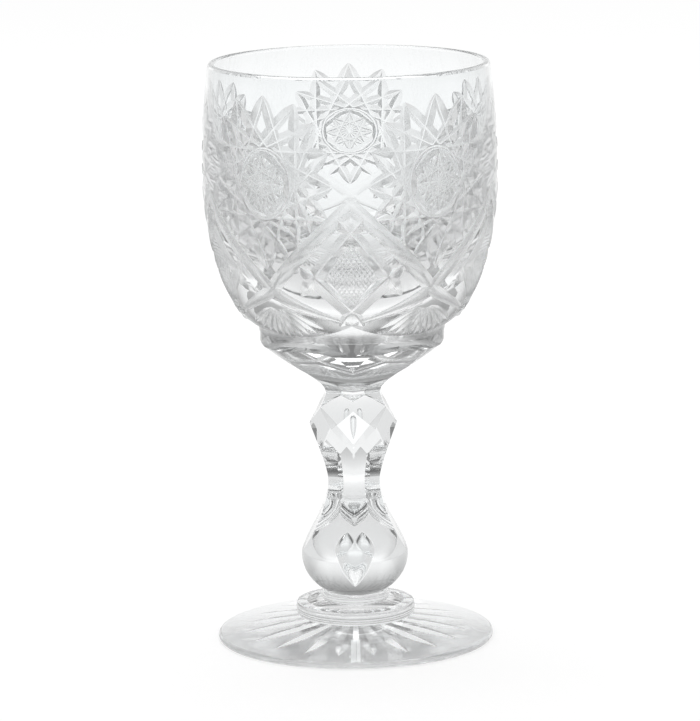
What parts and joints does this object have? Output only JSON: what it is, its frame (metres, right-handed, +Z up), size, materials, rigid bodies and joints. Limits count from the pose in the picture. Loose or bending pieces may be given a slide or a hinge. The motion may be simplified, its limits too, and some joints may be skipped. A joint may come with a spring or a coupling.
{
  "type": "cut glass goblet",
  "caption": "Clear cut glass goblet: a deep bowl cut with hobstars and framed lozenges over a fluted, knopped stem, a merese and a round rayed foot.",
  "frame": {"origin": "on the table, under the middle of the foot", "axes": "+Z up along the stem to the rim, -Y towards the viewer, where one of the framed lozenges faces"},
  "size_m": [0.0804, 0.0804, 0.16],
  "materials": {
    "lead_glass": "clear polished lead glass with wheel-cut, polished facets"
  },
  "bodies": {
    "root": {"foot": "lead_glass", "merese": "lead_glass", "wafer": "lead_glass", "stem": "lead_glass", "bowl": "lead_glass"}
  },
  "joints": []
}
